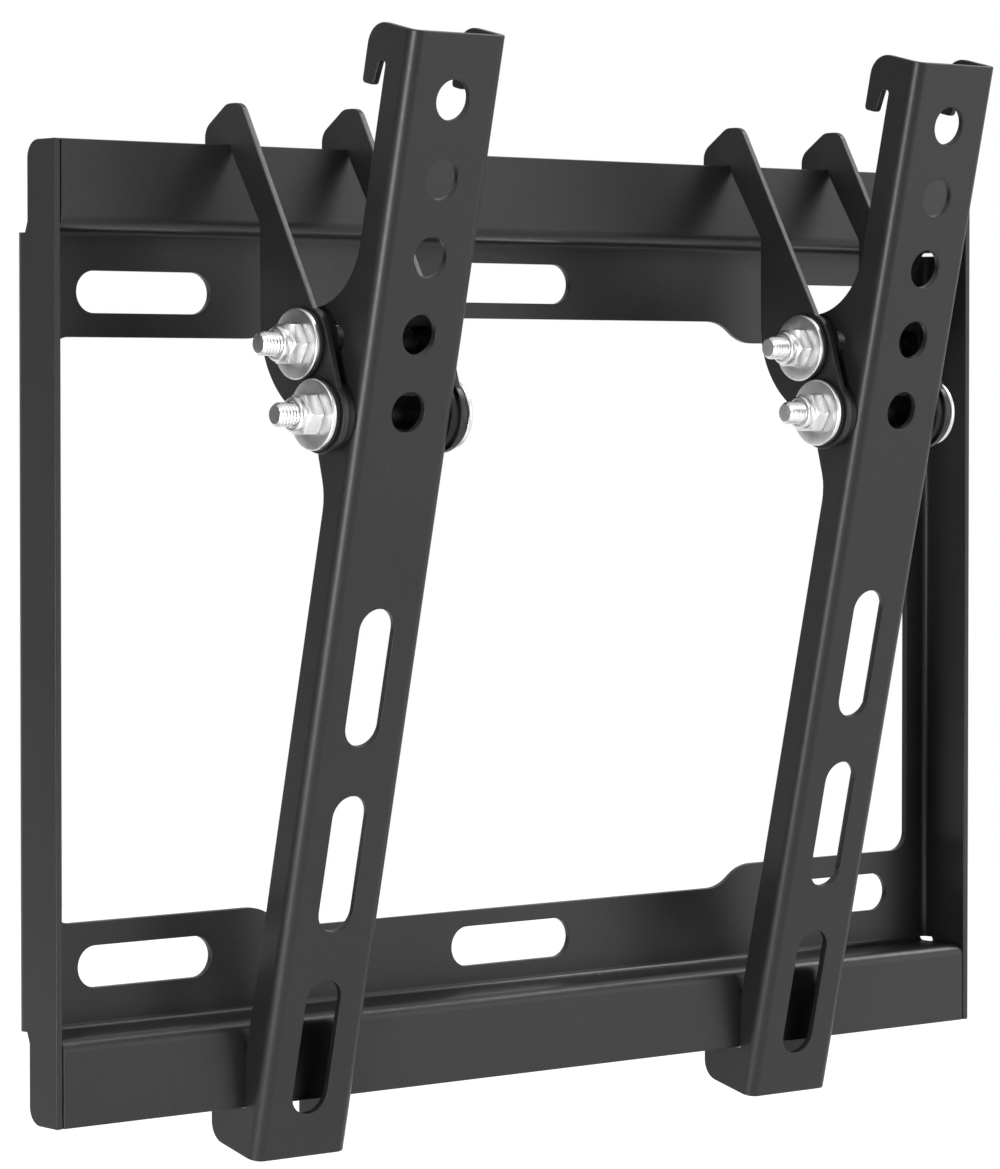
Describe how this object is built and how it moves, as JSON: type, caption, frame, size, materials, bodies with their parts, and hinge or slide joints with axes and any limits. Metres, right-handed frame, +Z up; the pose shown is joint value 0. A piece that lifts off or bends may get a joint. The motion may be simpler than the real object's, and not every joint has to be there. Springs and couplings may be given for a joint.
{
  "type": "tilting tv wall bracket",
  "caption": "Black steel wall bracket for a small flat screen: a folded frame plate with two tilting arms that hook over its top rail and slide along it.",
  "frame": {"origin": "the middle of the wall plate, on the wall behind it", "axes": "+X to the right along the rails as seen from the room, +Y into the wall, +Z up"},
  "size_m": [0.26, 0.0717, 0.2339],
  "materials": {
    "black_steel": "fine-textured powder coat",
    "zinc_steel": "bright zinc plating",
    "black_plastic": "satin"
  },
  "bodies": {
    "wall": {"wall_plate": "black_steel"},
    "left_tilting_arm": {"left_arm": "black_steel"},
    "left_carriage": {"left_hook_plate_left": "black_steel", "left_hook_plate_right": "black_steel", "left_lower_bolt": "zinc_steel", "left_lower_nut": "zinc_steel", "left_lower_steel_washer_left": "zinc_steel", "left_lower_steel_washer_right": "zinc_steel", "left_lower_outer_washer_left": "black_plastic", "left_lower_outer_washer_right": "black_plastic", "left_lower_inner_washer_left": "black_plastic", "left_lower_inner_washer_right": "black_plastic", "left_upper_bolt": "zinc_steel", "left_upper_nut": "zinc_steel", "left_upper_steel_washer_left": "zinc_steel", "left_upper_steel_washer_right": "zinc_steel", "left_upper_outer_washer_left": "black_plastic", "left_upper_outer_washer_right": "black_plastic", "left_upper_inner_washer_left": "black_plastic", "left_upper_inner_washer_right": "black_plastic"},
    "right_tilting_arm": {"right_arm": "black_steel"},
    "right_carriage": {"right_hook_plate_left": "black_steel", "right_hook_plate_right": "black_steel", "right_lower_bolt": "zinc_steel", "right_lower_nut": "zinc_steel", "right_lower_steel_washer_left": "zinc_steel", "right_lower_steel_washer_right": "zinc_steel", "right_lower_outer_washer_left": "black_plastic", "right_lower_outer_washer_right": "black_plastic", "right_lower_inner_washer_left": "black_plastic", "right_lower_inner_washer_right": "black_plastic", "right_upper_bolt": "zinc_steel", "right_upper_nut": "zinc_steel", "right_upper_steel_washer_left": "zinc_steel", "right_upper_steel_washer_right": "zinc_steel", "right_upper_outer_washer_left": "black_plastic", "right_upper_outer_washer_right": "black_plastic", "right_upper_inner_washer_left": "black_plastic", "right_upper_inner_washer_right": "black_plastic"}
  },
  "joints": [
    {"name": "left_slide", "type": "slide", "parent": "wall", "child": "left_carriage", "axis": [1, 0, 0], "range_m": [-0.0414, 0.0446]},
    {"name": "left_tilt", "type": "hinge", "parent": "left_carriage", "child": "left_tilting_arm", "pos_m": [-0.0706, -0.0454, 0.0444], "axis": [1, 0, 0], "range_deg": [-23.1, 0]},
    {"name": "right_slide", "type": "slide", "parent": "wall", "child": "right_carriage", "axis": [1, 0, 0], "range_m": [-0.0429, 0.0431]},
    {"name": "right_tilt", "type": "hinge", "parent": "right_carriage", "child": "right_tilting_arm", "pos_m": [0.0689, -0.0454, 0.0444], "axis": [1, 0, 0], "range_deg": [-23.1, 0]}
  ]
}
